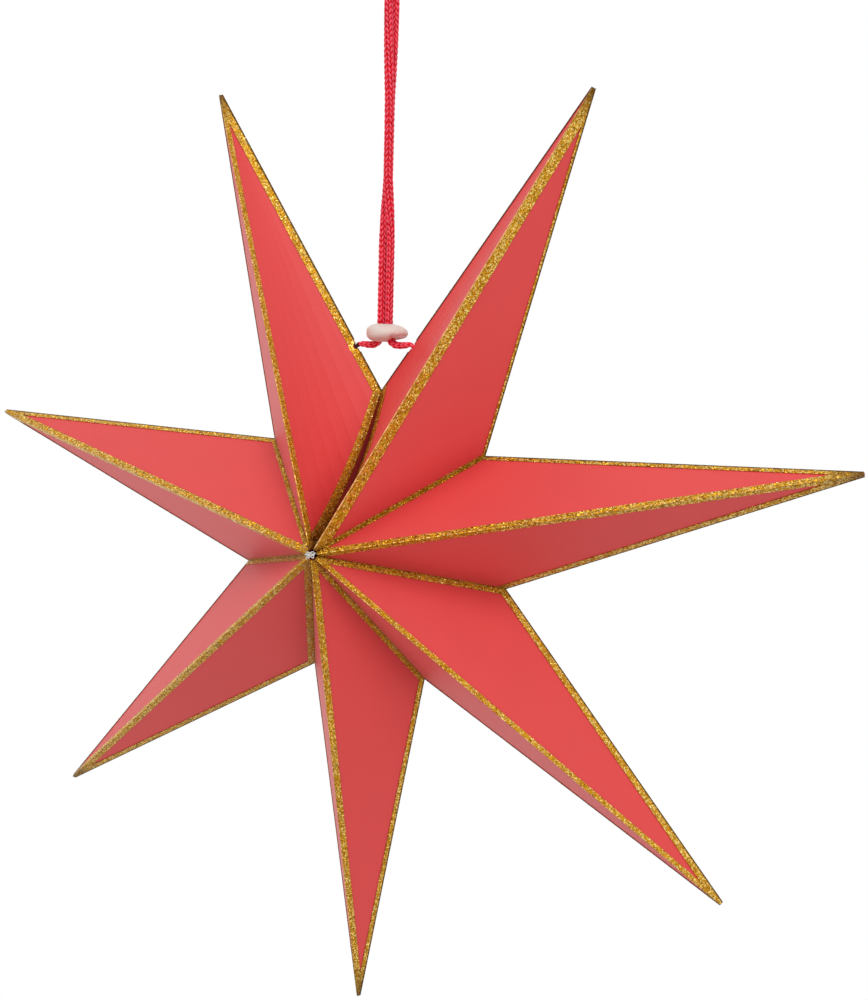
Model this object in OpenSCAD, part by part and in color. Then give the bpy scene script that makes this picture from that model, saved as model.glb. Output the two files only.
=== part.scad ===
// Hanging seven-pointed paper star, about 30 cm across.
// Seven folded card arms are glued side by side like a fan. The fan is opened all the way round,
// and a doubled cord with a sliding bead holds its first and last arm together at the top.
// Millimetres. The origin is the top of the hanging loop, +Z is up and the star faces -Y.

/* [Star] */
// Distance from the middle of the star to the point of an arm, before the point is cut blunt
arm_reach = 150; // [110:1:200]
// Distance from the middle of the star to the foot of each valley between two arms
valley_radius = 45.5; // [36:0.5:56]
// Depth of the open star from its front peak to its back peak
star_depth = 77; // [60:1:96]
// Thickness of the card
card_t = 0.3; // [0.2:0.05:0.5]
// Length cut off the sharp point of each arm
tip_blunt = 2.8; // [2:0.1:6]
// Angle by which the star hangs turned away from its open seam
hang_turn = 2.4; // [-4:0.2:4]

/* [Folds and tabs] */
// Width of the glue tabs folded in along the open edges of each arm
tab_w = 12; // [8:1:16]
// Width of the glue lap inside the back ridge
lap_w = 7; // [4:1:10]
// Thickness of the glue between two tabs
glue_t = 0.06; // [0.02:0.02:0.2]
// How far the two unglued edges at the top seam sag towards the inside
seam_sag = 4.5; // [0:0.5:8]
// How far each unglued edge bends away from its neighbour
seam_part = 0.9; // [0:0.1:2]

/* [Glitter edging] */
// Width of the glitter on each side of a ridge
ridge_band = 1.7; // [1:0.1:3]
// Width of the glitter along the outer edges
edge_band = 1.9; // [1:0.1:3]
// Width of the glitter along the valleys
valley_band = 1.2; // [0.8:0.1:2]
// Thickness of the glitter layer
glitter_t = 0.2; // [0.1:0.05:0.4]

/* [Cord holes] */
// Distance of each cord hole from the foot of the valley, along the outer edge
hole_reach = 16; // [14:0.5:20]
// Room between the cord and the edge of each hole
hole_play = 0.1; // [0.05:0.05:0.4]

/* [Cord] */
// Width of the flat knitted cord
cord_w = 3; // [2.8:0.1:3.6]
// Thickness of the cord
cord_t = 2.4; // [2:0.1:2.5]
// Diameter to which the soft cord is squeezed in its small holes
cord_squeezed = 1.6; // [1.4:0.1:1.9]
// Diameter of the knot at each end of the cord
knot_d = 6.6; // [6:0.2:8]
// Room between a knot and the card that it rests against
knot_play = 0.2; // [0.1:0.1:0.5]

/* [Bead] */
// Outer diameter of the bead
bead_d = 12.6; // [11:0.2:15]
// Height of the bead
bead_h = 6; // [4:0.5:6.5]
// Room between the pair of cord strands and the hole through the bead
bead_play = 0.1; // [0.05:0.05:0.4]

/* [Thread ties] */
// Thickness of the thread that ties the inner tips together
thread_d = 0.6; // [0.4:0.1:0.9]
// Radius of the ring that the thread makes through the tabs
tie_r = 3.2; // [2.6:0.2:4.5]
// Radius of the small opening left between the inner tips
tie_way = 1.6; // [1.5:0.1:2]
// Diameter of the knot of thread that shows
tie_knot_d = 2.4; // [2:0.2:2.6]

/* [Hidden] */

card_red = [0.86, 0.26, 0.25];
glitter_gold = [0.78, 0.58, 0.16];
cord_red = [0.77, 0.08, 0.15];
bead_white = [0.92, 0.87, 0.84];
thread_white = [0.96, 0.95, 0.92];

// How wide each arm stands open, in degrees, as the fan was spread by hand.
// Arm 1 is left of the open seam. The others follow clockwise, seen from the front.
arm_spread = [53, 50.5, 51.5, 51.5, 49.5, 51, 53];
// How far each arm's point leans clockwise from the middle of its own opening, in degrees.
// The cord pulls the two arms beside the seam towards each other.
arm_lean = [1.5, -1.2, 0, 0, 0, 0, 0];
arm_count = len(arm_spread);
half_depth = star_depth / 2;
even_half = 180 / arm_count;

// The four panels of every arm are cut alike, so the length of the outer edge is fixed
// and an arm that stands open wider reaches a little less far.
outer_edge = norm([arm_reach - valley_radius * cos(even_half), valley_radius * sin(even_half)]);
function half_open(i) = 180 * arm_spread[i] / total(arm_spread);
function total(list, i = 0) = i == len(list) ? 0 : list[i] + total(list, i + 1);
function reach(i) = valley_radius * cos(half_open(i))
    + sqrt(pow(outer_edge, 2) - pow(valley_radius * sin(half_open(i)), 2));

// Arm 2 starts at the seam. The list order is 2, 3, 4, 5, 6, 7, 1 clockwise.
function spread_before(i) = i == 1 ? 0 : spread_before((i + arm_count - 1) % arm_count)
    + 2 * half_open((i + arm_count - 1) % arm_count);
function arm_angle(i) = 90 - hang_turn - spread_before(i) - half_open(i);

function unit(v) = v / norm(v);
function mix(a, b, s) = a + (b - a) * s;

// An arm lies along +X here, with its front ridge towards +Z. Its four fold corners:
function tip(i) = reach(i) * [cos(arm_lean[i]), -sin(arm_lean[i]), 0];
function peak(face) = [0, 0, face * half_depth];
function foot(i, side) = valley_radius * [cos(half_open(i)), side * sin(half_open(i)), 0];

// The open edge of a panel runs from the peak to the valley foot. It is straight where it is
// glued, and a shallow arc where it lies loose at the seam.
seam_steps = 8;
function loose(i, side) = (i == 0 && side < 0) || (i == 1 && side > 0);
function steps(i, side) = loose(i, side) ? seam_steps : 1;
function inward(i, side, face) = let (
        run = unit(foot(i, side) - peak(face)),
        out = [cos(half_open(i)), side * sin(half_open(i)), face]
    ) -unit(out - (out * run) * run);
function away(i, side) = [sin(half_open(i)), -side * cos(half_open(i)), 0];
function edge_point(i, side, face, s) = mix(peak(face), foot(i, side), s)
    + (loose(i, side) ? 4 * s * (1 - s) * (seam_sag * inward(i, side, face)
    + seam_part * away(i, side)) : [0, 0, 0]);

// The rim goes round the open end of the arm: front peak, left foot, back peak, right foot.
function rim_part(i, side, face, up) = let (n = steps(i, side))
    [for (k = [0:n - 1]) edge_point(i, side, face, up ? 1 - k / n : k / n)];
function rim(i) = concat(
    rim_part(i, 1, 1, false), rim_part(i, 1, -1, true),
    rim_part(i, -1, -1, false), rim_part(i, -1, 1, true));

// A layer of the arm is its sharp shape scaled about the inner end, which moves
// all four panels by the same distance. Positive levels lie outside the card.
panel_normal = unit(cross(foot(2, 1) - tip(2), peak(1) - tip(2)));
slide = 1 / abs(panel_normal[0]);
flap_shift = 1 / sin(even_half);
outer_start = glue_t / 2 * flap_shift;
inner_start = outer_start + card_t * flap_shift;
function layer_scale(start, level) = 1 + (level * slide - start) / arm_reach;
function layer(points, start, level) =
    [for (p = points) [start, 0, 0] + layer_scale(start, level) * p];

// A closed body between the arm's tip and its two flaps
module arm_layer(i, start, level) {
    loop = layer(rim(i), start, level);
    n = len(loop);
    points = concat([layer([tip(i)], start, level)[0], [start, 0, 0]], loop);
    faces = concat(
        [for (k = [0:n - 1]) [0, 2 + k, 2 + (k + 1) % n]],
        [for (k = [0:n - 1]) [1, 2 + (k + 1) % n, 2 + k]]);
    polyhedron(points, faces);
}

// What the tabs leave open in a flap: the flap's outline brought in by the tab's width
module flap_window(i, side) {
    flap_h = valley_radius * half_depth / norm([valley_radius, half_depth]);
    keep = 1 - tab_w / flap_h;
    front = concat(rim_part(i, side, 1, false), [foot(i, side)]);
    back = rim_part(i, side, -1, false);
    outline = concat(
        [for (p = front) [norm([p[0], p[1]]), p[2]]],
        [for (k = [len(back) - 1:-1:0]) [norm([back[k][0], back[k][1]]), back[k][2]]]);
    cut = 4 * card_t + 2 * seam_part;
    rotate([90, 0, side * half_open(i)])
        linear_extrude(height = cut, center = true)
            polygon(keep * outline);
}

// The lap that closes the arm along its back ridge is a second layer inside the left back panel.
module glue_lap(i) {
    lap_run = unit(cross(panel_normal, tip(2) - peak(1)));
    difference() {
        translate([0, 0, -star_depth])
            cube([arm_reach, lap_w * abs(lap_run[1]), star_depth]);
        arm_layer(i, inner_start - glue_t, -2 * card_t);
    }
}

module tip_cut(i) {
    rotate([0, 0, -arm_lean[i]])
        translate([reach(i) - tip_blunt, -arm_reach / 2, -arm_reach / 2])
            cube(arm_reach);
}

// The way left for the thread: an opening along the star's middle and a ring of pinholes
pinhole_play = 0.2;
module thread_holes() {
    cylinder(h = 2 * star_depth, r = tie_way, center = true, $fn = 24);
    for (face = [-1, 1])
        translate([0, 0, face * tie_level])
            rotate_extrude($fn = 48)
                translate([tie_r, 0])
                    circle(d = thread_d + 2 * pinhole_play, $fn = 16);
}

// Where the cord goes through the outer edge, and the direction that it goes in.
// The holes are punched by hand, the one of arm 2 a little further out.
hole_d = cord_squeezed + 2 * hole_play;
hole_more = [0, 1];
function hole_side(i) = i == 0 ? -1 : 1;
function hole_place(i) = let (a = foot(i, hole_side(i)), b = tip(i))
    a + (hole_reach + hole_more[i]) * unit(b - a);
function hole_dir(i) = let (e = unit(tip(i) - foot(i, hole_side(i))))
    hole_side(i) * [e[1], -e[0], 0];

// The cord rubs the glitter off in a narrow ring round its hole.
hole_rubbed = 1.3;

module cord_hole(i, ring) {
    d = hole_dir(i);
    translate(hole_place(i) - knot_d * d)
        rotate([0, 90, atan2(d[1], d[0])])
            cylinder(h = 2 * knot_d, d = hole_d + 2 * ring, $fn = 32);
}

module folded_arm(i) {
    color(card_red)
        difference() {
            arm_layer(i, outer_start, 0);
            difference() {
                arm_layer(i, inner_start, -card_t);
                glue_lap(i);
            }
            for (side = [-1, 1])
                flap_window(i, side);
            tip_cut(i);
            thread_holes();
            if (i < 2)
                cord_hole(i, 0);
        }
}

// One panel's band of glitter is a frame round a bare triangle. Rulings run from the tip
// across the panel to its open edge: s says where a ruling meets the edge, m how far out along it.
function edge_at(i, side, face, s) = let (
        n = steps(i, side),
        k = min(floor(s * n), n - 1)
    ) mix(edge_point(i, side, face, k / n), edge_point(i, side, face, (k + 1) / n), s * n - k);
function facet_out(i, side, face, k) = let (
        n = steps(i, side),
        a = edge_point(i, side, face, k / n) - tip(i),
        b = edge_point(i, side, face, (k + 1) / n) - tip(i)
    ) -side * face * unit(cross(a, b));
function panel_out(i, side, face, s) = let (n = steps(i, side))
    unit(facet_out(i, side, face, max(ceil(s * n) - 1, 0))
    + facet_out(i, side, face, min(floor(s * n), n - 1)));
function height_over(a, b, c) = norm(cross(b - a, c - a)) / norm(c - b);

// The glitter was printed before the card was folded, and it lies a little off the folds.
// Each arm has two rows for its front, the panel anticlockwise of the ridge and the one clockwise.
// They give the width left there on the ridge, the outer edge and the valley, as a share.
front_print = [
    [[0.4, 0.15, 0.5], [0.7, 1.4, 2.2]],
    [[0.4, 0.15, 2.2], [1.9, 0.5, 0.8]],
    [[1, 0.85, 0.85], [1, 1.2, 0.2]],
    [[0.75, 1.15, 1.6], [0.3, 0.15, 0.2]],
    [[1, 0.9, 1.3], [0.3, 0.15, 0.3]],
    [[1.1, 1.15, 1.8], [1, 0.15, 1.3]],
    [[1.4, 0.15, 0.55], [1.05, 0.95, 1.05]]
];
function print_share(i, side, face) = face < 0 ? [1, 1, 1] : front_print[i][side > 0 ? 0 : 1];

module panel_band(i, side, face) {
    t = tip(i);
    share = print_share(i, side, face);
    ridge_share = share[0] * ridge_band / height_over(foot(i, side), t, peak(face));
    edge_share = share[1] * edge_band / height_over(peak(face), t, foot(i, side));
    bare_m = 1 - share[2] * valley_band / height_over(t, peak(face), foot(i, side));
    n = steps(i, side);
    bare_tip = ridge_share / (ridge_share + edge_share);
    rulings = concat(
        [0, ridge_share / bare_m],
        [for (k = [1:n - 1]) if (k / n < bare_tip) k / n], [bare_tip],
        [for (k = [1:n - 1]) if (k / n > bare_tip) k / n],
        [1 - edge_share / bare_m, 1]);
    c = len(rulings);
    rim_low = layer([for (s = rulings) edge_at(i, side, face, s)], outer_start, 0);
    rim_high = layer([for (s = rulings) edge_at(i, side, face, s)], outer_start, glitter_t);
    tips = [for (level = [0, glitter_t]) layer([t], outer_start, level)[0]];
    near_m = [for (s = rulings) max(ridge_share / max(s, 0.001), edge_share / max(1 - s, 0.001))];
    inner = [for (m = [near_m, [for (s = rulings) bare_m]], level = [0, glitter_t])
        [for (k = [1:c - 2]) mix(tips[0], rim_low[k], m[k])
            + level * panel_out(i, side, face, rulings[k])]];
    // Rows of points: 0 and 1 the near chain, 2 and 3 the far chain, 4 and 5 the open edge
    near = [for (level = [0, 1])
        concat([[rim_low, rim_high][level][0]], inner[level], [[rim_low, rim_high][level][c - 1]])];
    far = [for (level = [0, 1])
        concat([near[level][0]], inner[2 + level], [near[level][c - 1]])];
    points = concat(tips, near[0], near[1], far[0], far[1], rim_low, rim_high);
    function at(row, k) = (row == 2 || row == 3) && (k <= 1 || k >= c - 2) ? at(row - 2, k)
        : (row == 4 || row == 5) && (k == 0 || k == c - 1) ? at(row - 4, k) : 2 + row * c + k;
    shell = [for (k = [0:c - 2]) each [
        [1, at(1, k), at(1, k + 1)], [0, at(0, k + 1), at(0, k)],
        [at(3, k), at(5, k), at(5, k + 1)], [at(3, k), at(5, k + 1), at(3, k + 1)],
        [at(2, k), at(4, k + 1), at(4, k)], [at(2, k), at(2, k + 1), at(4, k + 1)],
        [at(4, k + 1), at(5, k + 1), at(5, k)], [at(4, k + 1), at(5, k), at(4, k)]
    ]];
    walls = [for (k = [1:c - 3]) each [
        [at(0, k), at(0, k + 1), at(1, k + 1)], [at(0, k), at(1, k + 1), at(1, k)],
        [at(2, k), at(3, k + 1), at(2, k + 1)], [at(2, k), at(3, k), at(3, k + 1)]
    ]];
    ends = [
        [at(0, 0), at(1, 0), 1], [at(0, 0), 1, 0],
        [0, 1, at(1, c - 1)], [0, at(1, c - 1), at(0, c - 1)]
    ];
    whole = [for (f = concat(shell, walls, ends)) if (f[0] != f[1] && f[1] != f[2] && f[2] != f[0]) f];
    polyhedron(points, side * face > 0 ? whole : [for (f = whole) [f[2], f[1], f[0]]]);
}

module glitter_edging(i) {
    color(glitter_gold)
        difference() {
            union() {
                for (side = [-1, 1], face = [-1, 1])
                    panel_band(i, side, face);
            }
            tip_cut(i);
            thread_holes();
            if (i < 2)
                cord_hole(i, hole_rubbed);
        }
}

// The star hangs with its two cord holes level with the end of the cord.
hole_drop = 123;
function turned(p, angle) = [p[0] * cos(angle) - p[1] * sin(angle), p[0] * sin(angle) + p[1] * cos(angle)];
hole_middle = (turned(hole_place(0), arm_angle(0)) + turned(hole_place(1), arm_angle(1))) / 2;
star_place = [-hole_middle[0], 0, -hole_drop - hole_middle[1]];

module in_star() {
    translate(star_place)
        rotate([90, 0, 0])
            children();
}

module in_arm(i) {
    in_star()
        rotate([0, 0, arm_angle(i)])
            children();
}

// Thread tie: a ring through the tabs just under the peak, a short stem and a small knot
tie_level = half_depth - tie_r * half_depth / valley_radius - card_t * 2 - thread_d;
module thread_tie(face) {
    color(thread_white)
        in_star()
            scale([1, 1, face]) {
                translate([0, 0, tie_level])
                    rotate_extrude($fn = 48)
                        translate([tie_r, 0])
                            circle(d = thread_d, $fn = 12);
                rotate([0, 0, arm_angle(3)]) {
                    translate([0, 0, tie_level])
                        rotate([0, 90, 0])
                            cylinder(h = tie_r, d = thread_d, $fn = 16);
                    translate([0, 0, tie_level])
                        cylinder(h = half_depth - tie_level + tie_knot_d / 4, d = 2 * thread_d, $fn = 16);
                }
                translate([0, 0, half_depth + tie_knot_d / 4])
                    sphere(d = tie_knot_d, $fn = 24);
            }
}

// The cord is doubled, and its two strands lie flat side to flat side. Each row of a strand gives
// how far it has moved out from the pair, its height, and how far the pair has turned there.
strand_gap = 0.1;
pair_off = (cord_t + strand_gap) / 2;
strand = [
    [5.9, -122.6, 0], [4, -122.75, 0], [2.4, -122.6, 0], [1.1, -121.7, 0],
    [0.4, -120.4, 0], [0.05, -119, 0], [0, -117, 0], [0, -104, 0], [0, -92, 0],
    [0, -88, -12], [0, -84, -28], [0, -80, -44], [0, -76, -56], [0, -72, -64],
    [0, -61, -66], [0, -50, -70], [0, -44, -80], [0, -38, -92], [0, -32, -104],
    [0, -26, -114], [0, -21, -120], [0.35, -18, -120], [1.5, -15, -120], [3, -12, -120],
    [4.25, -9, -120], [4.9, -5.5, -120], [4.4, -2.4, -120], [3.1, -0.3, -120], [1.1, 0.9, -120]
];
loop_turn = -120;
cord_sides = 8;

// How much of its full size the squeezed cord has won back at the first rows after its hole
strand_swell = [0.2, 0.4, 0.55, 0.75, 0.9];

// The hook bears on the inside of the loop, at the origin.
loop_top = [0, cord_t / 2, loop_turn];
function row_point(row) = [row[0] * cos(row[2]), row[0] * sin(row[2]), row[1]];
function row_wide(row) = [-sin(row[2]), cos(row[2]), 0];
strand_rows = concat(
    [for (row = strand) [-pair_off - row[0], row[1], row[2]]],
    [loop_top],
    [for (k = [len(strand) - 1:-1:0]) let (row = strand[k]) [pair_off + row[0], row[1], row[2]]]);

// Each end goes on through its hole to the knot, which the folded edge stops.
function hole_at(i) = let (p = turned(hole_place(i), arm_angle(i)))
    [p[0] + star_place[0], 0, p[1] + star_place[2]];
function into_arm(i) = let (d = turned(hole_dir(i), arm_angle(i))) [d[0], 0, d[1]];
knot_face_r = norm([cord_w, cord_t]) / 2;
knot_depth = sqrt(pow(knot_d / 2, 2) - pow(knot_face_r, 2));
// The knot touches both panels of the fold, so it lies deeper where the fold is narrower.
function edge_rise(i) = let (
        out = facet_out(i, hole_side(i), 1, seam_steps - 1)
    ) norm([out[0], out[1]]);
function knot_reach(i) = (knot_d / 2 + card_t + knot_play) / edge_rise(i);
function cord_end(i) = hole_at(i) + (knot_reach(i) - knot_depth) * into_arm(i);

// The cord runs straight through the card, squeezed and not turned.
hole_mouth = 0.8;
hole_rows = [[0, 0, 0], [0, 0, 0], [0, 0, 0]];
function mouth_at(i) = hole_at(i) - hole_mouth * into_arm(i);
cord_rows = concat(hole_rows, strand_rows, hole_rows);
cord_points = concat(
    [cord_end(0), hole_at(0), mouth_at(0)],
    [for (row = strand_rows) row_point(row)],
    [mouth_at(1), hole_at(1), cord_end(1)]);
cord_last = len(cord_points) - 1;
function swell(k) = let (j = min(k, cord_last - k) - len(hole_rows))
    j < 0 ? 0 : j < len(strand_swell) ? strand_swell[j] : 1;
function cord_run(k) = unit(cord_points[min(k + 1, cord_last)] - cord_points[max(k - 1, 0)]);
function cord_ring(k) = let (
        run = cord_run(k),
        flat = row_wide(cord_rows[k]),
        wide = unit(flat - (flat * run) * run),
        thin = cross(run, wide),
        half_t = mix(cord_squeezed, cord_t, swell(k)) / 2,
        half_w = mix(cord_squeezed, cord_w, swell(k)) / 2
    ) [for (a = [0:360 / cord_sides:359])
        cord_points[k] + half_t * cos(a) * thin + half_w * sin(a) * wide];

module hanging_cord() {
    n = cord_sides;
    points = [for (k = [0:cord_last]) each cord_ring(k)];
    sides = [for (k = [0:cord_last - 1], a = [0:n - 1]) let (b = (a + 1) % n) each [
        [k * n + a, (k + 1) * n + b, k * n + b], [k * n + a, (k + 1) * n + a, (k + 1) * n + b]
    ]];
    caps = [[for (a = [0:n - 1]) a], [for (a = [n - 1:-1:0]) cord_last * n + a]];
    color(cord_red)
        polyhedron(points, concat(sides, caps));
}

// A knot sits inside the arm against the folded edge, with a flat face to the cord's end.
module end_knot(i) {
    run = into_arm(i);
    color(cord_red)
        translate(hole_at(i) + knot_reach(i) * run)
            rotate([0, acos(run[2]), atan2(run[1], run[0])])
                rotate_extrude($fn = 32)
                    intersection() {
                        circle(d = knot_d, $fn = 32);
                        translate([0, -knot_depth])
                            square(knot_d);
                    }
}

// The bead's underside rests where the strands part, and its hole clears both strands
// at every turn of the pair.
bead_rest = 121.5;
pair_r = max([for (a = [0:5:90]) norm([pair_off + cord_t / 2 * cos(a), cord_w / 2 * sin(a)])]);
bead_hole_r = pair_r + bead_play;
module cord_bead() {
    wall = bead_d / 2 - bead_hole_r;
    color(bead_white)
        translate([0, 0, bead_h / 2 - bead_rest])
            rotate_extrude($fn = 64)
                translate([bead_hole_r + wall / 2, 0])
                    scale([wall / bead_h, 1])
                        circle(d = bead_h, $fn = 40);
}

module arm_1() { in_arm(0) folded_arm(0); }
module arm_2() { in_arm(1) folded_arm(1); }
module arm_3() { in_arm(2) folded_arm(2); }
module arm_4() { in_arm(3) folded_arm(3); }
module arm_5() { in_arm(4) folded_arm(4); }
module arm_6() { in_arm(5) folded_arm(5); }
module arm_7() { in_arm(6) folded_arm(6); }
module glitter_edging_1() { in_arm(0) glitter_edging(0); }
module glitter_edging_2() { in_arm(1) glitter_edging(1); }
module glitter_edging_3() { in_arm(2) glitter_edging(2); }
module glitter_edging_4() { in_arm(3) glitter_edging(3); }
module glitter_edging_5() { in_arm(4) glitter_edging(4); }
module glitter_edging_6() { in_arm(5) glitter_edging(5); }
module glitter_edging_7() { in_arm(6) glitter_edging(6); }
module front_thread_tie() { thread_tie(1); }
module back_thread_tie() { thread_tie(-1); }
module end_knot_left() { end_knot(0); }
module end_knot_right() { end_knot(1); }

arm_1();
arm_2();
arm_3();
arm_4();
arm_5();
arm_6();
arm_7();
glitter_edging_1();
glitter_edging_2();
glitter_edging_3();
glitter_edging_4();
glitter_edging_5();
glitter_edging_6();
glitter_edging_7();
front_thread_tie();
back_thread_tie();
hanging_cord();
end_knot_left();
end_knot_right();
cord_bead();
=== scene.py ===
"""Looks of the hanging paper star: card, gold glitter, knitted cord, soft bead and thread ties."""

import math

import bpy
import numpy as np
from mathutils import Matrix, Vector


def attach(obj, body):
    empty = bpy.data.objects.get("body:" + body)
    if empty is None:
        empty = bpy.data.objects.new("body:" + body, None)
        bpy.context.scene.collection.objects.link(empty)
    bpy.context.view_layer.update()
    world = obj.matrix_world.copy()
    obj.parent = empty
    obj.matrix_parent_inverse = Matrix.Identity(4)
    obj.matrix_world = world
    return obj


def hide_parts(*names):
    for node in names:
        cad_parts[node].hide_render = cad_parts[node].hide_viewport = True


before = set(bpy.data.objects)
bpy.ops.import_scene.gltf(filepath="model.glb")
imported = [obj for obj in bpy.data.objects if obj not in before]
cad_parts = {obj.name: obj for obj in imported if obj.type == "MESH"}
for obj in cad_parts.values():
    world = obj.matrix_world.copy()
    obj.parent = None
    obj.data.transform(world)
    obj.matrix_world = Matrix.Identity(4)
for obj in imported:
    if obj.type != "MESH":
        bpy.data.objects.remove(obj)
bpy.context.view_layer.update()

# Lengths are in millimetres and angles in degrees.
MM = 0.001
ARMS = range(1, 8)
STAR_MIDDLE = np.array([-2.6, 0.0, -182.06])
HALF_DEPTH = 38.5
ARM_LENGTH = 146.5
SEAM_TOP = 45.0
HANG_TURN = 2.4
HOLE_PRINT = 2.7
HOLE_PRINT_DEPTH = 2.1
ARM_ANGLES = (-245.9, 62.35, 11.35, -40.15, -90.65, -140.9, -192.9)


# ---------------------------------------------------------------- camera


def stand_camera():
    """Stands a little to the right of the star, above its middle, as the photograph was taken."""
    lens = bpy.data.cameras.new("photo_camera")
    lens.lens = 50.2
    lens.sensor_width = 36
    lens.clip_start = 0.01
    camera = bpy.data.objects.new("photo_camera", lens)
    bpy.context.scene.collection.objects.link(camera)
    right = (0.910462, 0.412789, 0.025787)
    up = (-0.07024, 0.092878, 0.993197)
    back = (0.407585, -0.906079, 0.113556)
    place = (0.188619, -0.379972, -0.12102)
    camera.matrix_world = Matrix(
        [(right[k], up[k], back[k], place[k]) for k in range(3)] + [(0, 0, 0, 1)]
    )
    bpy.context.scene.camera = camera


stand_camera()


# ---------------------------------------------------------------- mesh helpers


def unit(v):
    v = np.asarray(v, float)
    return v / np.maximum(np.linalg.norm(v, axis=-1, keepdims=True), 1e-12)


def make_piece(name, points_mm, faces, smooth=True):
    """A mesh piece of the star body, from points in millimetres in the part's frame."""
    mesh = bpy.data.meshes.new(name)
    mesh.from_pydata((np.asarray(points_mm) * MM).tolist(), [], faces)
    mesh.validate()
    mesh.polygons.foreach_set("use_smooth", [smooth] * len(mesh.polygons))
    mesh.update()
    piece = bpy.data.objects.new(name, mesh)
    bpy.context.scene.collection.objects.link(piece)
    return piece


def give_tone(piece, name, values):
    """A number at each point of the piece, which its material reads."""
    tone = piece.data.attributes.new(name, "FLOAT", "POINT")
    tone.data.foreach_set("value", np.asarray(values, np.float32))


def smooth_line(points, steps):
    """A curve through the points, spaced by their own distances, with steps pieces between two."""
    p = np.asarray(points, float)
    t = np.concatenate([[0], np.cumsum(np.linalg.norm(np.diff(p[:, :3], axis=0), axis=1))])
    slope = np.zeros_like(p)
    slope[1:-1] = (p[2:] - p[:-2]) / (t[2:] - t[:-2])[:, None]
    slope[0] = (p[1] - p[0]) / (t[1] - t[0])
    slope[-1] = (p[-1] - p[-2]) / (t[-1] - t[-2])
    line = []
    for k in range(len(p) - 1):
        gap = t[k + 1] - t[k]
        for s in np.arange(steps) / steps:
            line.append(
                (2 * s**3 - 3 * s**2 + 1) * p[k]
                + (s**3 - 2 * s**2 + s) * gap * slope[k]
                + (3 * s**2 - 2 * s**3) * p[k + 1]
                + (s**3 - s**2) * gap * slope[k + 1]
            )
    line.append(p[-1])
    return np.array(line)


def rings(first, second, sides):
    """A ring of points of radius 1 for each pair of crosswise directions."""
    turn = np.arange(sides) * 2 * math.pi / sides
    return (
        np.cos(turn)[None, :, None] * first[:, None]
        + np.sin(turn)[None, :, None] * second[:, None]
    )


def sleeve_faces(rows, sides):
    """Faces between rows of ring points, with a cap at each end."""
    faces = [
        (
            k * sides + c,
            k * sides + (c + 1) % sides,
            (k + 1) * sides + (c + 1) % sides,
            (k + 1) * sides + c,
        )
        for k in range(rows - 1)
        for c in range(sides)
    ]
    faces.append(tuple(range(sides))[::-1])
    faces.append(tuple((rows - 1) * sides + c for c in range(sides)))
    return faces


def tube(line, radius, sides, across=(0, 0, 1)):
    """Points and faces of a round tube along a line, with a radius for each point."""
    run = unit(np.gradient(line, axis=0))
    first = unit(np.cross(run, np.asarray(across, float) + 1e-4))
    size = np.broadcast_to(radius, len(line))[:, None, None]
    points = line[:, None] + size * rings(first, np.cross(run, first), sides)
    return points.reshape(-1, 3), sleeve_faces(len(line), sides)


def join(parts):
    """Several (points, faces) as one."""
    points, faces, start = [], [], 0
    for part_points, part_faces in parts:
        points.append(part_points)
        faces.extend(tuple(start + v for v in face) for face in part_faces)
        start += len(part_points)
    return np.concatenate(points), faces


# ---------------------------------------------------------------- hanging cord

CORD_WIDE = 3.0
CORD_THICK = 2.4
CORD_SQUEEZED = 1.6
PAIR_OFF = 1.25
STRAND = [
    (5.9, -122.6, 0), (4, -122.75, 0), (2.4, -122.6, 0), (1.1, -121.7, 0),
    (0.4, -120.4, 0), (0.05, -119, 0), (0, -117, 0), (0, -104, 0), (0, -92, 0),
    (0, -88, -12), (0, -84, -28), (0, -80, -44), (0, -76, -56), (0, -72, -64),
    (0, -61, -66), (0, -50, -70), (0, -44, -80), (0, -38, -92), (0, -32, -104),
    (0, -26, -114), (0, -21, -120), (0.35, -18, -120), (1.5, -15, -120), (3, -12, -120),
    (4.25, -9, -120), (4.9, -5.5, -120), (4.4, -2.4, -120), (3.1, -0.3, -120), (1.1, 0.9, -120),
]
LOOP_TOP = (0, 1.2, -120)
STRAND_SWELL = (0.6, 0.8, 0.9, 0.95, 1.0)
LEFT_HOLE = [(-12.3309, 0, -125.054), (-9.3295, 0, -123.13), (-8.656, 0, -122.698)]
RIGHT_HOLE = [(8.6833, 0, -122.398), (9.3295, 0, -122.87), (12.1152, 0, -124.904)]
STITCH = 1.6
WALES = 4
YARN_INSET = 0.5
LEG_POINTS = 7
LEG_SIDES = 6


def cord_route():
    """Rows of the cord's middle line: the point, the turn of the flat, the share of its size."""
    swell = list(STRAND_SWELL) + [1] * (len(STRAND) - len(STRAND_SWELL))
    rows = [
        (-PAIR_OFF - out, height, turn, size)
        for (out, height, turn), size in zip(STRAND, swell)
    ]
    rows.append((*LOOP_TOP, 1))
    rows += [(-out, height, turn, size) for out, height, turn, size in reversed(rows[:-1])]
    route = [(*point, 0, 0) for point in LEFT_HOLE]
    for out, height, turn, size in rows:
        a = math.radians(turn)
        route.append((out * math.cos(a), out * math.sin(a), height, turn, size))
    route += [(*point, 0, 0) for point in RIGHT_HOLE]
    return smooth_line(route, 8)


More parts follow.
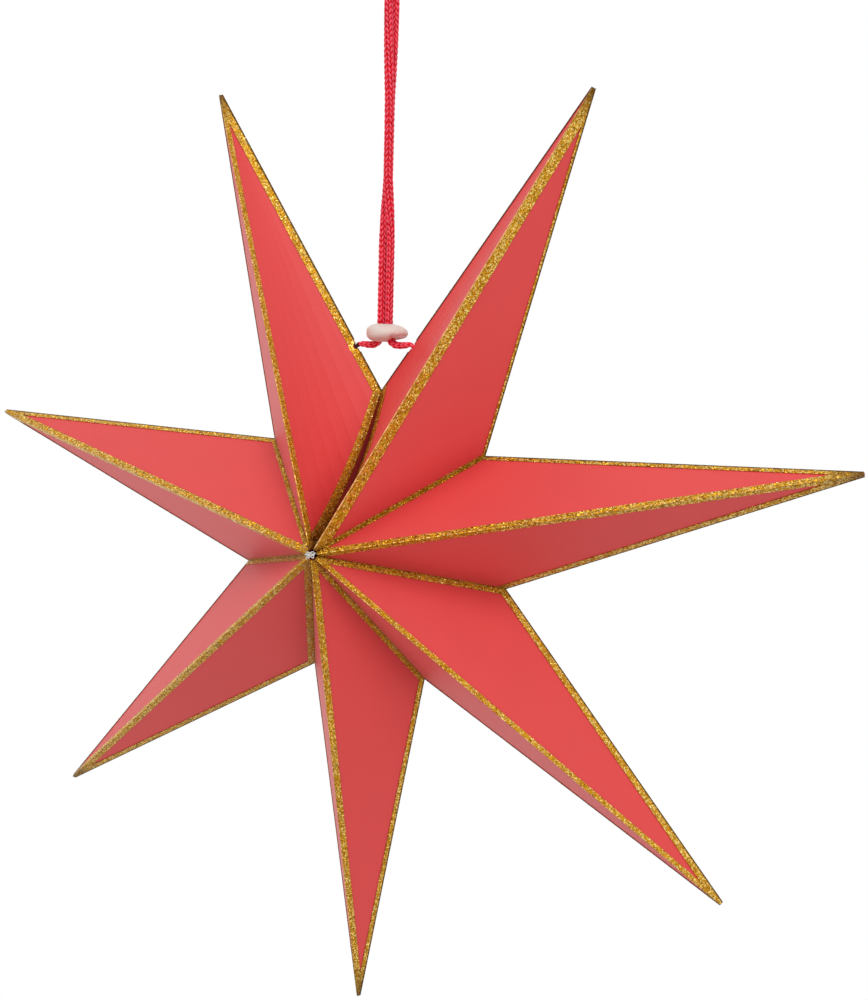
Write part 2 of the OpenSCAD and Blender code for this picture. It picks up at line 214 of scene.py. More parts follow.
class CordSurface:
    """Places points on the cord by the distance along it, the way round it and the height off it."""

    def __init__(self, route):
        self.line = route[:, :3]
        gaps = np.linalg.norm(np.diff(self.line, axis=0), axis=1)
        self.along = np.concatenate([[0], np.cumsum(gaps)])
        self.length = self.along[-1]
        run = unit(np.gradient(self.line, axis=0))
        turn = np.radians(route[:, 3])
        flat = np.stack([-np.sin(turn), np.cos(turn), np.zeros_like(turn)], 1)
        self.wide = unit(flat - (flat * run).sum(1, keepdims=True) * run)
        self.thin = np.cross(run, self.wide)
        self.size = route[:, 4]

    def size_at(self, along):
        return np.interp(along, self.along, self.size)

    def half_size(self, full, along, lift):
        """Half of the cord's width or thickness there, as far out as the lift says."""
        grown = self.size_at(along) * (full - CORD_SQUEEZED)
        return ((CORD_SQUEEZED + grown) / 2 - YARN_INSET + lift)[..., None]

    def at(self, along, round_, lift):
        """round_ is in radians from the middle of a broad side."""
        middle, wide, thin = (
            np.stack([np.interp(along, self.along, table[:, c]) for c in range(3)], -1)
            for table in (self.line, self.wide, self.thin)
        )
        return (
            middle
            + self.half_size(CORD_THICK, along, lift) * np.cos(round_)[..., None] * thin
            + self.half_size(CORD_WIDE, along, lift) * np.sin(round_)[..., None] * wide
        )


def knit_cord():
    """A fine knitted tube of four columns. Each stitch is two fat legs of yarn that make a V."""
    route = cord_route()
    cord = CordSurface(route)
    rng = np.random.default_rng(7)
    core_along = np.linspace(0, cord.length, 420)
    core_turn = np.arange(12) * math.pi / 6
    a, r = np.meshgrid(core_along, core_turn, indexing="ij")
    core_points = cord.at(a, r, np.zeros_like(a) + 0.04).reshape(-1, 3)
    parts = [(core_points, sleeve_faces(len(core_along), len(core_turn)))]
    crown = [np.zeros(len(core_points))]
    # Painted shade: the core between the stitches takes a darker yarn tone than the legs do on average.
    shade = [np.full(len(core_points), 0.2)]
    share = np.linspace(0, 1, LEG_POINTS)
    arch = np.sin(math.pi * np.clip(share, 0.02, 0.98)) ** 0.5
    way = np.arange(LEG_SIDES) * 2 * math.pi / LEG_SIDES
    # Painted highlight: the crown value peaks along the middle of each leg, on its outward side.
    leg_crown = np.repeat(np.clip(1.5 * np.sin(math.pi * share), 0, 1), LEG_SIDES)
    leg_crown = leg_crown * np.tile(0.5 + 0.5 * np.cos(way), LEG_POINTS)
    for wale in range(WALES):
        middle = wale * 2 * math.pi / WALES
        for k in range(int(cord.length / STITCH) - 1):
            start = (k + 0.15 + 0.5 * (wale % 2)) * STITCH + rng.normal(0, 0.08)
            if start + STITCH > cord.length:
                continue
            full = 0.8 + 0.2 * float(cord.size_at(start))
            leg_lift = (0.06 + 0.18 * arch) * full
            leg_radius = (0.21 + 0.11 * arch) * full
            tint = rng.uniform(0, 1)
            for side in (-1, 1):
                along = start + share * 1.2 * STITCH
                spread = 0.08 + 0.62 * share
                round_ = middle + side * spread + rng.normal(0, 0.03)
                centre = cord.at(along, round_, leg_lift)
                outward = unit(cord.at(along, round_, leg_lift + 0.5) - centre)
                run = unit(np.gradient(centre, axis=0))
                ring = rings(outward * 0.9, np.cross(run, outward) * 1.1, LEG_SIDES)
                points = (centre[:, None] + leg_radius[:, None, None] * ring).reshape(-1, 3)
                parts.append((points, sleeve_faces(LEG_POINTS, LEG_SIDES)))
                crown.append(leg_crown)
                shade.append(np.full(len(points), tint))
    points, faces = join(parts)
    piece = make_piece("knitted_cord", points, faces)
    give_tone(piece, "crown", np.concatenate(crown))
    give_tone(piece, "shade", np.concatenate(shade))
    # Painted shade: the yarn turns near black where it goes into the left hole.
    from_hole = np.linalg.norm(points - np.array(LEFT_HOLE[1]), axis=1)
    give_tone(piece, "cord_hole_shade", np.clip((1.35 - from_hole) / 0.3, 0, 1))
    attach(piece, "star")
    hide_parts("hanging_cord")
    return piece


cord_piece = knit_cord()


# ---------------------------------------------------------------- shader groups


class Nodes:
    """Short ways to place and join shader nodes in one tree."""

    def __init__(self, tree):
        self.tree = tree

    def add(self, kind, links=(), **settings):
        node = self.tree.nodes.new(kind)
        for key, value in settings.items():
            setattr(node, key, value)
        for socket, source in dict(links).items():
            self.join(source, node.inputs[socket])
        return node

    def join(self, source, socket):
        if hasattr(source, "is_output"):
            self.tree.links.new(source, socket)
        else:
            socket.default_value = source

    def noise(self, place, scale, detail=3, rough=0.5):
        links = {"Vector": place, "Scale": scale, "Detail": detail, "Roughness": rough}
        return self.add("ShaderNodeTexNoise", links).outputs["Fac"]

    def spread(self, value, low, high, out_low, out_high):
        links = {
            "Value": value, "From Min": low, "From Max": high,
            "To Min": out_low, "To Max": out_high,
        }
        return self.add("ShaderNodeMapRange", links).outputs["Result"]

    def calc(self, kind, a, b):
        return self.add("ShaderNodeMath", {0: a, 1: b}, operation=kind).outputs[0]

    def mix(self, share, a, b, blend="MIX"):
        node = self.add("ShaderNodeMix", {}, data_type="RGBA", blend_type=blend)
        self.join(share, node.inputs[0])
        self.join(a, node.inputs[6])
        self.join(b, node.inputs[7])
        return node.outputs[2]


def new_group(name, inputs, outputs):
    """A shader group whose sockets are (name, kind, first value)."""
    group = bpy.data.node_groups.new(name, "ShaderNodeTree")
    for label, kind, value in inputs:
        socket = group.interface.new_socket(name=label, in_out="INPUT", socket_type=kind)
        socket.default_value = value
    for label, kind in outputs:
        group.interface.new_socket(name=label, in_out="OUTPUT", socket_type=kind)
    nodes = Nodes(group)
    source = nodes.add("NodeGroupInput").outputs
    target = nodes.add("NodeGroupOutput").inputs
    return group, nodes, source, target


def fine_grain_group():
    """Fine fibres with slow clouds of lighter and darker colour, for all but the glitter."""
    group, nodes, source, target = new_group(
        "Fine grain",
        [
            ("Colour", "NodeSocketColor", (0.8, 0.1, 0.1, 1)),
            ("Grain per metre", "NodeSocketFloat", 2600.0),
            ("Grain strength", "NodeSocketFloat", 0.05),
            ("Cloud strength", "NodeSocketFloat", 0.05),
            ("Roughness", "NodeSocketFloat", 0.6),
        ],
        [
            ("Colour", "NodeSocketColor"),
            ("Roughness", "NodeSocketFloat"),
            ("Height", "NodeSocketFloat"),
        ],
    )
    place = nodes.add("ShaderNodeTexCoord").outputs["Object"]
    grain = nodes.noise(place, source["Grain per metre"], 4, 0.65)
    cloud = nodes.noise(place, 38.0, 3, 0.55)
    light = nodes.calc("MULTIPLY", nodes.calc("SUBTRACT", grain, 0.5), source["Grain strength"])
    slow = nodes.calc("MULTIPLY", nodes.calc("SUBTRACT", cloud, 0.5), source["Cloud strength"])
    level = nodes.calc("ADD", nodes.calc("MULTIPLY", nodes.calc("ADD", light, slow), 2.0), 1.0)
    scale = nodes.add("ShaderNodeVectorMath", {0: source["Colour"]}, operation="SCALE")
    nodes.join(level, scale.inputs["Scale"])
    nodes.join(scale.outputs[0], target["Colour"])
    uneven = nodes.calc("MULTIPLY", nodes.calc("SUBTRACT", grain, 0.5), 0.25)
    nodes.join(nodes.calc("ADD", source["Roughness"], uneven), target["Roughness"])
    nodes.join(grain, target["Height"])
    return group


def places_group():
    """Masks for the outer folds, the arms' points, the open seam, and the left hole's rim and print."""
    group, nodes, source, target = new_group(
        "Places on the star",
        [
            ("Fold line width", "NodeSocketFloat", 0.00045),
            ("Point length", "NodeSocketFloat", 0.009),
            ("Seam width", "NodeSocketFloat", 0.0012),
            ("Hole rim radius", "NodeSocketFloat", 0.0012),
        ],
        [
            ("Fold line", "NodeSocketFloat"), ("Point", "NodeSocketFloat"),
            ("Seam", "NodeSocketFloat"), ("Hole rim", "NodeSocketFloat"),
            ("Hole print", "NodeSocketFloat"),
        ],
    )
    place = nodes.add("ShaderNodeTexCoord").outputs["Object"]
    depth = nodes.add("ShaderNodeSeparateXYZ", {"Vector": place}).outputs["Y"]
    near = nodes.add("ShaderNodeMath", {0: depth}, operation="ABSOLUTE").outputs[0]
    core = nodes.calc("MULTIPLY", source["Fold line width"], 0.5)
    nodes.join(nodes.spread(near, core, source["Fold line width"], 1.0, 0.0), target["Fold line"])
    hole = tuple(np.array(LEFT_HOLE[1]) * MM)
    gap = nodes.add("ShaderNodeVectorMath", {0: place, 1: hole}, operation="DISTANCE").outputs["Value"]
    inside = nodes.calc("MULTIPLY", source["Hole rim radius"], 0.85)
    nodes.join(nodes.spread(gap, inside, source["Hole rim radius"], 1.0, 0.0), target["Hole rim"])
    beside_hole = nodes.calc("LESS_THAN", gap, HOLE_PRINT * MM)
    in_band = nodes.calc("LESS_THAN", near, HOLE_PRINT_DEPTH * MM)
    nodes.join(nodes.calc("MULTIPLY", beside_hole, in_band), target["Hole print"])
    middle = tuple(STAR_MIDDLE * MM)
    off = nodes.add("ShaderNodeVectorMath", {0: place, 1: middle}, operation="SUBTRACT").outputs[0]
    flat = nodes.add("ShaderNodeVectorMath", {0: off, 1: (1, 0, 1)}, operation="MULTIPLY").outputs[0]
    out = nodes.add("ShaderNodeVectorMath", {0: flat}, operation="LENGTH").outputs["Value"]
    start = nodes.calc("SUBTRACT", ARM_LENGTH * MM, source["Point length"])
    nodes.join(nodes.spread(out, start, ARM_LENGTH * MM, 0.0, 1.0), target["Point"])
    lean = math.radians(90 - HANG_TURN)
    across = nodes.add(
        "ShaderNodeVectorMath", {0: flat, 1: (math.sin(lean), 0, -math.cos(lean))}, operation="DOT_PRODUCT"
    ).outputs["Value"]
    along = nodes.add(
        "ShaderNodeVectorMath", {0: flat, 1: (math.cos(lean), 0, math.sin(lean))}, operation="DOT_PRODUCT"
    ).outputs["Value"]
    beside = nodes.add("ShaderNodeMath", {0: across}, operation="ABSOLUTE").outputs[0]
    half_seam = nodes.calc("MULTIPLY", source["Seam width"], 0.5)
    slit = nodes.spread(beside, half_seam, source["Seam width"], 1.0, 0.0)
    upper = nodes.calc("GREATER_THAN", along, 0.0)
    lower = nodes.calc("LESS_THAN", along, SEAM_TOP * MM)
    nodes.join(nodes.calc("MULTIPLY", slit, nodes.calc("MULTIPLY", upper, lower)), target["Seam"])
    return group


def glitter_group():
    """Flakes pressed into glue: every cell has its own gold, its own gloss and its own tilt. The dark and
    light gold is partly random tone and partly painted reflection, and the brightest cells are painted
    glints.
    """
    group, nodes, source, target = new_group(
        "Glitter",
        [("Cells per metre", "NodeSocketFloat", 3000.0), ("Tilt", "NodeSocketFloat", 0.9)],
        [("Colour", "NodeSocketColor"), ("Roughness", "NodeSocketFloat"), ("Normal", "NodeSocketVector")],
    )
    place = nodes.add("ShaderNodeTexCoord").outputs["Object"]
    cell = nodes.add("ShaderNodeTexVoronoi", {"Vector": place, "Scale": source["Cells per metre"]})
    pick = nodes.add("ShaderNodeSeparateColor", {"Color": cell.outputs["Color"]}).outputs
    cloud = nodes.noise(place, 420.0, 2, 0.5)
    # Dark and light gold by cell: partly random tone, partly painted reflection. The brightest cells are
    # painted glints.
    share = nodes.calc("ADD", nodes.calc("MULTIPLY", pick[0], 0.8), nodes.calc("MULTIPLY", cloud, 0.3))
    dull = nodes.mix(share, (0.17, 0.055, 0.001, 1), (0.78, 0.39, 0.012, 1))
    painted_glint = nodes.spread(pick[1], 0.76, 0.79, 0.0, 1.0)
    nodes.join(nodes.mix(painted_glint, dull, (1.0, 0.76, 0.24, 1)), target["Colour"])
    nodes.join(nodes.spread(pick[2], 0.0, 1.0, 0.25, 0.6), target["Roughness"])
    links = {0: cell.outputs["Color"], 1: (0.5, 0.5, 0.5)}
    way = nodes.add("ShaderNodeVectorMath", links, operation="SUBTRACT")
    tilt = nodes.add("ShaderNodeVectorMath", {0: way.outputs[0]}, operation="SCALE")
    nodes.join(source["Tilt"], tilt.inputs["Scale"])
    normal = nodes.add("ShaderNodeNewGeometry").outputs["Normal"]
    leaned = nodes.add("ShaderNodeVectorMath", {0: normal, 1: tilt.outputs[0]}, operation="ADD")
    fair = nodes.add("ShaderNodeVectorMath", {0: leaned.outputs[0]}, operation="NORMALIZE")
    nodes.join(fair.outputs[0], target["Normal"])
    return group


def place_masks(nodes, fold, point, seam, hole_rim):
    """Puts the masks in a material, with its own widths."""
    node = nodes.add("ShaderNodeGroup", {}, node_tree=PLACES)
    node.inputs["Fold line width"].default_value = fold
    node.inputs["Point length"].default_value = point
    node.inputs["Seam width"].default_value = seam
    node.inputs["Hole rim radius"].default_value = hole_rim
    return node.outputs


def painted_fold_shade(nodes, reach, depth):
    """Painted shade: a share from the ambient occlusion that falls from 1 towards 1 - depth in folds and
    corners, over the given reach.
    """
    node = nodes.add("ShaderNodeAmbientOcclusion", {"Distance": reach}, samples=8)
    return nodes.spread(node.outputs["AO"], 0.35, 0.95, 1.0 - depth, 1.0)


def new_material(name):
    material = bpy.data.materials.new(name)
    material.use_nodes = True
    nodes = Nodes(material.node_tree)
    return material, nodes, material.node_tree.nodes["Principled BSDF"]


def place_grain(nodes, shader, colour, per_metre, grain, cloud, roughness, bump):
    """Puts the fine grain in a material, with its own values."""
    node = nodes.add("ShaderNodeGroup", {}, node_tree=FINE_GRAIN)
    links = {
        "Colour": colour, "Grain per metre": per_metre, "Grain strength": grain,
        "Cloud strength": cloud, "Roughness": roughness,
    }
    for socket, value in links.items():
        nodes.join(value, node.inputs[socket])
    nodes.join(node.outputs["Colour"], shader.inputs["Base Color"])
    nodes.join(node.outputs["Roughness"], shader.inputs["Roughness"])
    relief = {"Height": node.outputs["Height"], "Strength": bump, "Distance": GRAIN_DEPTH * MM}
    nodes.join(nodes.add("ShaderNodeBump", relief).outputs["Normal"], shader.inputs["Normal"])


GRAIN_DEPTH = 0.08
FINE_GRAIN = fine_grain_group()
PLACES = places_group()
GLITTER = glitter_group()


# ---------------------------------------------------------------- materials


def red_card():
    """Matte red card, with painted shade in the folds, in the open seam and round the left hole, and with
    glitter left on it round the left hole.
    """
    material, nodes, shader = new_material("coral_red_card")
    masks = place_masks(nodes, 0.0003, 0.006, 0.0016, 0.00125)
    # Painted shade: the card turns dark red where the ambient occlusion finds folds and corners.
    near = nodes.mix(painted_fold_shade(nodes, 0.012, 1.0), (0.52, 0.013, 0.016, 1), (0.80, 0.062, 0.060, 1))
    # Painted shade: a darker red strip on the card in the open seam between the first two arms.
    seam_shaded = nodes.mix(nodes.calc("MULTIPLY", masks["Seam"], 0.85), near, (0.42, 0.008, 0.006, 1))
    glitter = nodes.add("ShaderNodeGroup", {}, node_tree=GLITTER).outputs
    printed = nodes.mix(masks["Hole print"], seam_shaded, glitter["Colour"])
    nodes.join(nodes.calc("MULTIPLY", masks["Hole print"], 0.8), shader.inputs["Metallic"])
    worn = nodes.mix(nodes.calc("MULTIPLY", masks["Fold line"], 0.75), printed, (0.14, 0.025, 0.012, 1))
    # Painted shade: a near-black ring on the card round the left hole, which stands in for the hole's
    # shadow.
    card_hole_shade = nodes.mix(masks["Hole rim"], worn, (0.02, 0.004, 0.002, 1))
    place_grain(nodes, shader, card_hole_shade, 2600.0, 0.07, 0.05, 0.52, 0.35)
    shader.inputs["Specular IOR Level"].default_value = 0.45
    shader.inputs["Sheen Weight"].default_value = 0.12
    shader.inputs["Sheen Roughness"].default_value = 0.45
    return material


def gold_glitter(name, point_wear):
    """Glitter print, brown at the outer folds and at the worn points, with painted shade beside the open
    seam and in folds and corners.
    """
    material, nodes, shader = new_material(name)
    masks = place_masks(nodes, 0.00048, 0.010, 0.0022, 0.0012)
    glitter = nodes.add("ShaderNodeGroup", {}, node_tree=GLITTER).outputs
    # Painted shade: the gold turns brown beside the open seam.
    deep = nodes.mix(nodes.calc("MULTIPLY", masks["Seam"], 0.6), glitter["Colour"], (0.20, 0.05, 0.002, 1))
    brown = nodes.mix(nodes.calc("MULTIPLY", masks["Fold line"], 0.9), deep, (0.045, 0.013, 0.001, 1))
    worn = nodes.mix(nodes.calc("MULTIPLY", masks["Point"], point_wear), brown, (0.08, 0.026, 0.004, 1))
    # Painted shade: the gold darkens where the ambient occlusion finds folds and corners.
    lit = nodes.mix(painted_fold_shade(nodes, 0.006, 0.6), (0.16, 0.04, 0.001, 1), worn)
    nodes.join(lit, shader.inputs["Base Color"])
    nodes.join(glitter["Roughness"], shader.inputs["Roughness"])
    nodes.join(glitter["Normal"], shader.inputs["Normal"])
    shader.inputs["Metallic"].default_value = 0.85
    return material


def gold_flake():
    """Single flakes that stand a little proud of the print, in random tones, the brightest with a painted
    glint.
    """
    material, nodes, shader = new_material("gold_flakes")
    tone = nodes.add("ShaderNodeAttribute", {}, attribute_name="shade").outputs["Fac"]
    dull = nodes.mix(tone, (0.30, 0.12, 0.003, 1), (0.75, 0.38, 0.02, 1))
    # Painted glint: the brightest flakes take a pale yellow-white gold.
    bright = nodes.spread(tone, 0.6, 0.7, 0.0, 1.0)
    nodes.join(nodes.mix(bright, dull, (1.0, 0.74, 0.26, 1)), shader.inputs["Base Color"])
    nodes.join(nodes.spread(tone, 0.0, 1.0, 0.4, 0.2), shader.inputs["Roughness"])
    shader.inputs["Metallic"].default_value = 0.85
    return material


def crease_gold():
    """The thicker line of glue and glitter along a ridge, which catches the light."""
    material, nodes, shader = new_material("gold_crease_line")
    place = nodes.add("ShaderNodeTexCoord").outputs["Object"]
    masks = place_masks(nodes, 0.0002, 0.02, 0.0012, 0.0012)
    patch = nodes.spread(nodes.noise(place, 900.0, 3, 0.6), 0.35, 0.65, 0.0, 1.0)
    colour = nodes.mix(patch, (0.50, 0.20, 0.02, 1), (0.95, 0.55, 0.22, 1))
    worn = nodes.mix(nodes.calc("MULTIPLY", masks["Point"], 0.7), colour, (0.10, 0.035, 0.004, 1))
    nodes.join(worn, shader.inputs["Base Color"])
    nodes.join(nodes.spread(patch, 0.0, 1.0, 0.5, 0.3), shader.inputs["Roughness"])
    shader.inputs["Metallic"].default_value = 0.7
    return material


def cord_yarn():
    """Crimson yarn, with a painted highlight on the crown of each stitch, painted shade on the core
    between the stitches, and painted shade where it goes into the left hole.
    """
    material, nodes, shader = new_material("crimson_knitted_yarn")
    crown = nodes.add("ShaderNodeAttribute", {}, attribute_name="crown").outputs["Fac"]
    shade = nodes.add("ShaderNodeAttribute", {}, attribute_name="shade").outputs["Fac"]
    deep = nodes.mix(shade, (0.74, 0.0006, 0.010, 1), (0.96, 0.003, 0.022, 1))
    # Painted highlight: pink along the crown of each leg.
    crown_highlight = nodes.spread(crown, 0.55, 0.95, 0.0, 0.9)
    bright = nodes.mix(crown_highlight, deep, (1.0, 0.13, 0.20, 1))
    # Painted shade: near black where the cord goes into the left hole.
    cord_hole_shade = nodes.add("ShaderNodeAttribute", {}, attribute_name="cord_hole_shade").outputs["Fac"]
    colour = nodes.mix(cord_hole_shade, bright, (0.05, 0.001, 0.002, 1))
    place_grain(nodes, shader, colour, 6000.0, 0.1, 0.05, 0.55, 0.4)
    shader.inputs["Specular IOR Level"].default_value = 0.3
    shader.inputs["Sheen Weight"].default_value = 0.25
    shader.inputs["Sheen Roughness"].default_value = 0.4
    shader.inputs["Sheen Tint"].default_value = (1.0, 0.25, 0.35, 1)
    return material


def plain_yarn():
    """The same yarn where it is drawn into a knot."""
    material, nodes, shader = new_material("crimson_knot_yarn")
    place_grain(nodes, shader, (0.55, 0.01, 0.035, 1), 4000.0, 0.25, 0.08, 0.55, 0.8)
    return material


def soft_silicone():
    material, nodes, shader = new_material("clouded_white_silicone")
    place_grain(nodes, shader, (0.786, 0.694, 0.633, 1), 900.0, 0.03, 0.1, 0.45, 0.1)
    shader.inputs["Specular IOR Level"].default_value = 0.3
    shader.inputs["Subsurface Weight"].default_value = 0.5
    shader.inputs["Subsurface Radius"].default_value = (1.0, 0.7, 0.6)
    shader.inputs["Subsurface Scale"].default_value = 0.0018
    return material


def white_thread():
    material, nodes, shader = new_material("white_sewing_thread")
    place_grain(nodes, shader, (0.86, 0.84, 0.80, 1), 9000.0, 0.12, 0.05, 0.6, 0.4)
    return material


# The arms whose points aren't worn brown
CLEAN_ARMS = (4, 7)
MATERIALS = {
    "card": red_card(),
    "flake": gold_flake(),
    "crease": crease_gold(),
    "yarn": cord_yarn(),
    "glitter": gold_glitter("gold_glitter_print", 0.75),
    "clean_glitter": gold_glitter("gold_glitter_clean", 0.1),
    "knot": plain_yarn(),
    "bead": soft_silicone(),
    "thread": white_thread(),
}


def dress(piece, material):
    piece.data.materials.clear()
    piece.data.materials.append(MATERIALS[material])


dress(cord_piece, "yarn")
for number in ARMS:
    dress(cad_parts[f"arm_{number}"], "card")
    finish = "clean_glitter" if number in CLEAN_ARMS else "glitter"
    dress(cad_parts[f"glitter_edging_{number}"], finish)
for knot in ("end_knot_left", "end_knot_right"):
    dress(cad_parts[knot], "knot")


# ---------------------------------------------------------------- loose glitter flakes

FLAKES_PER_MM2 = 0.9
FLAKE_RADIUS = (0.07, 0.13)
FLAKE_LIFT = (0.01, 0.04)
FLAKE_SIDES = 6
CREASE_RADIUS = 0.26
CREASE_TAPER = 0.14
CREASE_SUNK = 0.12


def strew_flakes(number):
    """Small six-sided flakes on the outside of one arm's edging."""
    rng = np.random.default_rng(40 + number)
    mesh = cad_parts[f"glitter_edging_{number}"].data
    mesh.calc_loop_triangles()
    corners = np.zeros(len(mesh.loop_triangles) * 3, np.int32)
    mesh.loop_triangles.foreach_get("vertices", corners)
    spots = np.zeros(len(mesh.vertices) * 3, np.float32)
    mesh.vertices.foreach_get("co", spots)
    tri = spots.reshape(-1, 3)[corners.reshape(-1, 3)].astype(float) / MM
    cross = np.cross(tri[:, 1] - tri[:, 0], tri[:, 2] - tri[:, 0])
    area = np.linalg.norm(cross, axis=1) / 2
    normal = unit(cross)
    angle = math.radians(ARM_ANGLES[number - 1])
    axis = np.array([math.cos(angle), 0, math.sin(angle)])
    off = tri.mean(1) - STAR_MIDDLE
    off -= (off @ axis)[:, None] * axis
    outward = (normal * off).sum(1) > 0.35 * np.linalg.norm(off, axis=1)
    share = np.where(outward & (area > 1e-6), area, 0)
    count = int(share.sum() * FLAKES_PER_MM2)
    pick = rng.choice(len(tri), count, p=share / share.sum())
    a, b = rng.random(count), rng.random(count)
    flip = a + b > 1
    a[flip], b[flip] = 1 - a[flip], 1 - b[flip]
    t = tri[pick]
    centre = t[:, 0] + a[:, None] * (t[:, 1] - t[:, 0]) + b[:, None] * (t[:, 2] - t[:, 0])
    lean = unit(normal[pick] + rng.normal(0, 0.22, (count, 3)))
    centre = centre + normal[pick] * rng.uniform(*FLAKE_LIFT, count)[:, None]
    first = unit(np.cross(lean, rng.normal(0, 1, (count, 3))))
    size = rng.uniform(*FLAKE_RADIUS, count)
    ring = rings(first, np.cross(lean, first), FLAKE_SIDES)
    points = (centre[:, None] + size[:, None, None] * ring).reshape(-1, 3)
    faces = np.arange(count * FLAKE_SIDES).reshape(count, FLAKE_SIDES).tolist()
    piece = make_piece(f"glitter_flakes_{number}", points, faces, smooth=False)
    give_tone(piece, "shade", np.repeat(rng.random(count), FLAKE_SIDES))
    dress(piece, "flake")
    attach(piece, "star")


def lay_crease(number):
    """The raised line along the front and the back ridge of one arm, from the peak to the point."""
    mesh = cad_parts[f"glitter_edging_{number}"].data
    spots = np.array([tuple(v.co) for v in mesh.vertices]) / MM
    angle = math.radians(ARM_ANGLES[number - 1])
    out = (spots - STAR_MIDDLE) @ np.array([math.cos(angle), 0, math.sin(angle)])
    lines = []
    for face in (-1, 1):
        inner = spots[np.argmax(face * spots[:, 1])]
        last = spots[out > out.max() - 0.3]
        outer = last[np.argmax(face * last[:, 1])]
        share = np.linspace(0, 1, 60)[:, None]
        line = inner + (outer - inner) * share
        line[:, 1] -= face * CREASE_SUNK
        radius = CREASE_RADIUS - CREASE_TAPER * share[:, 0]
        lines.append(tube(line, radius, 8, across=(0, 1, 0)))
    points, faces = join(lines)
    piece = make_piece(f"crease_line_{number}", points, faces)
    dress(piece, "crease" if number == 2 else "glitter")
    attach(piece, "star")


for number in ARMS:
    strew_flakes(number)
    lay_crease(number)


# ---------------------------------------------------------------- bead

BEAD_MIDDLE = np.array([0.0, 0.0, -118.5])
BEAD_HOLE = 2.552
BEAD_RADIUS = 6.3
BEAD_HALF = 3.0
# The way that the bead's right-hand lobe points, and how far its forms depart from a plain ring
BEAD_RIGHT = math.radians(24.4)
BEAD_DENT = 0.95
BEAD_CREASE = 0.3
BEAD_SAG = 0.6
BEAD_BULGE = 0.75


def mould_bead():
    """A soft pebble with a hole down through it, and a second, smaller lobe on its right."""
    around, section, outside = 120, 52, 36
    way = np.arange(around) * 2 * math.pi / around
    # Round the section: the outside from the lower to the upper rim, then the wall of the hole.
    lean = np.radians(np.linspace(-64, 64, outside))
    down = np.linspace(1, -1, section - outside + 2)[1:-1]
    profile = [(math.cos(a), math.sin(a), 1.0) for a in lean]
    profile += [(BEAD_HOLE / BEAD_RADIUS, 0.84 * d, 0.0) for d in down]
    w = np.repeat(way, section)
    out, height, skin = np.tile(np.array(profile), (around, 1)).T
    side = np.cos(w - BEAD_RIGHT) * out
    front = np.cos(w - BEAD_RIGHT + math.pi / 2) * out
    full = np.where(side < 0, 1 - 0.3 * np.abs(side), 1.0)
    z = BEAD_HALF * np.sign(height) * np.abs(height) ** full
    under = np.clip(-height, 0, 1)
    step = np.clip((side - 0.08) / 0.22, 0, 1)
    fade = 1 - np.clip((side - 0.6) / 0.4, 0, 1)
    lifted = step**2 * (3 - 2 * step) * fade**2 * (3 - 2 * fade)
    z = z + BEAD_DENT * lifted * under * (0.4 + 0.6 * np.clip(front + 0.4, 0, 1))
    crease = np.exp(-(((side - 0.42 - 0.36 * height) / 0.08) ** 2))
    crease = crease * np.clip(front, 0, 1) * np.clip(0.4 - height, 0, 1)
    radius = BEAD_RADIUS * out - BEAD_CREASE * crease * skin
    # It sags in front and behind, where the strands don't hold it up, and bulges to its right.
    channel = 1 - np.clip((np.abs(radius * np.sin(w)) - 1.5) / 1.0, 0, 1)
    z = z - BEAD_SAG * (1 - channel * under)
    bulge = BEAD_BULGE * np.clip((out - 0.44) / 0.56, 0, 1) * skin
    x = radius * np.cos(w) + bulge * math.cos(BEAD_RIGHT)
    y = radius * np.sin(w) + bulge * math.sin(BEAD_RIGHT)
    points = np.stack([x, y, z], -1) + BEAD_MIDDLE
    faces = [
        (
            k * section + c,
            ((k + 1) % around) * section + c,
            ((k + 1) % around) * section + (c + 1) % section,
            k * section + (c + 1) % section,
        )
        for k in range(around)
        for c in range(section)
    ]
    piece = make_piece("soft_bead", points, faces)
    dress(piece, "bead")
    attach(piece, "bead")
    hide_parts("cord_bead")


mould_bead()


# ---------------------------------------------------------------- thread ties

THREAD_LEVEL = 34.4
THREAD_RING = 3.2
PLY_OFF, PLY_RADIUS, PLY_TURN = 0.07, 0.09, 0.9


def twist(line):
    """Two plies of thread wound round each other along a line."""
    run = unit(np.gradient(line, axis=0))
    first = unit(np.cross(run, np.array([0.3, 0.2, 1.0])))
    second = np.cross(run, first)
    along = np.concatenate([[0], np.cumsum(np.linalg.norm(np.diff(line, axis=0), axis=1))])
    plies = []
    for start in (0, math.pi):
        angle = start + along * 2 * math.pi / PLY_TURN
        ply = line + PLY_OFF * (np.cos(angle)[:, None] * first + np.sin(angle)[:, None] * second)
        plies.append(tube(ply, PLY_RADIUS, 6))
    return plies


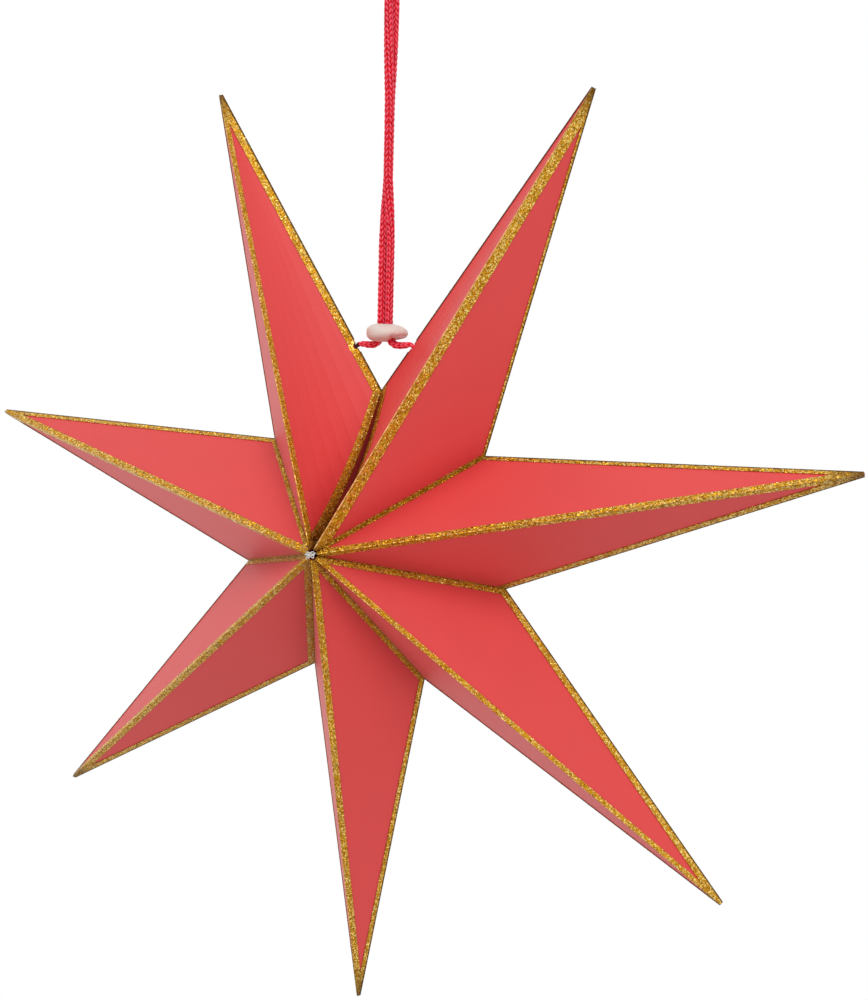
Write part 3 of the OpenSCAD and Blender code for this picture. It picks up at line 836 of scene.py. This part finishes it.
def tie_thread(name, node, face, seed):
    """A ring of thread through the tabs, and over the peak a few loops drawn into a small knot."""
    rng = np.random.default_rng(seed)
    turn = np.linspace(0, 2 * math.pi, 40)
    ring = [THREAD_RING * np.cos(turn), THREAD_RING * np.sin(turn), np.full(40, THREAD_LEVEL)]
    lines = [np.stack(ring, 1)]
    for loop in range(3):
        turn = np.linspace(0, 2 * math.pi, 9)
        lean = rng.normal(0.1, 0.35)
        long, short = rng.uniform(1.2, 1.8), rng.uniform(0.2, 0.4)
        x = long * np.cos(turn) * math.cos(lean) - short * np.sin(turn) * math.sin(lean)
        y = long * np.cos(turn) * math.sin(lean) + short * np.sin(turn) * math.cos(lean)
        z = HALF_DEPTH + 0.35 + 0.4 * np.sin(turn * 2 + loop)
        lines.append(smooth_line(np.stack([x, y, z], 1), 6))
    for lean in (0.15, 3.0, 3.7):
        reach = rng.uniform(1.6, 2.3)
        tail = [
            (0, 0, THREAD_LEVEL),
            (0.1, 0, HALF_DEPTH - 0.6),
            (0.25 * math.cos(lean), 0.25 * math.sin(lean), HALF_DEPTH + 0.7),
            (0.7 * reach * math.cos(lean), 0.7 * reach * math.sin(lean), HALF_DEPTH + 0.75),
            (reach * math.cos(lean + 0.3), reach * math.sin(lean + 0.3), HALF_DEPTH + 0.35),
        ]
        lines.append(smooth_line(tail, 8))
    parts = []
    for line in lines:
        parts += twist(line)
    points, faces = join(parts)
    placed = np.stack([points[:, 0], -face * points[:, 2], points[:, 1]], 1) + STAR_MIDDLE
    piece = make_piece(name, placed, faces)
    dress(piece, "thread")
    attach(piece, "star")
    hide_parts(node)


tie_thread("front_tied_thread", "front_thread_tie", 1, 3)
tie_thread("back_tied_thread", "back_thread_tie", -1, 5)


# ---------------------------------------------------------------- studio

FILL_LIGHT = 0.63


def white_surroundings():
    """White to the eye and in reflections, and a softer white where it only lights the card."""
    world = bpy.data.worlds.new("white_studio")
    world.use_nodes = True
    bpy.context.scene.world = world
    nodes = Nodes(world.node_tree)
    background = world.node_tree.nodes["Background"]
    background.inputs["Color"].default_value = (1, 1, 1, 1)
    path = nodes.add("ShaderNodeLightPath").outputs
    seen = nodes.calc("MAXIMUM", path["Is Camera Ray"], path["Is Glossy Ray"])
    seen = nodes.calc("MAXIMUM", seen, path["Is Transmission Ray"])
    nodes.join(nodes.spread(seen, 0.0, 1.0, FILL_LIGHT, 1.0), background.inputs["Strength"])


def soft_lamp(name, place, aim, size, power):
    light = bpy.data.lights.new(name, "AREA")
    light.shape = "DISK"
    light.size = size
    light.energy = power
    lamp = bpy.data.objects.new(name, light)
    bpy.context.scene.collection.objects.link(lamp)
    lamp.location = place
    lamp.rotation_euler = (Vector(aim) - Vector(place)).to_track_quat("-Z", "Y").to_euler()


def lay_floor():
    """A round pale floor, well under the hanging star, which takes its shadow."""
    ring = [(1.1 * math.cos(a), 1.1 * math.sin(a), -1.4) for a in np.arange(64) * math.pi / 32]
    mesh = bpy.data.meshes.new("pale_floor")
    mesh.from_pydata(ring, [], [tuple(range(64))])
    floor = bpy.data.objects.new("pale_floor", mesh)
    bpy.context.scene.collection.objects.link(floor)
    material, nodes, shader = new_material("pale_floor")
    place_grain(nodes, shader, (0.86, 0.86, 0.86, 1), 300.0, 0.02, 0.02, 0.8, 0.05)
    mesh.materials.append(material)


bpy.context.scene.view_settings.view_transform = "Standard"
white_surroundings()
soft_lamp("soft_top_lamp", place=(0.4, -1.0, 0.85), aim=(0, 0, -0.18), size=0.9, power=8.2)
lay_floor()
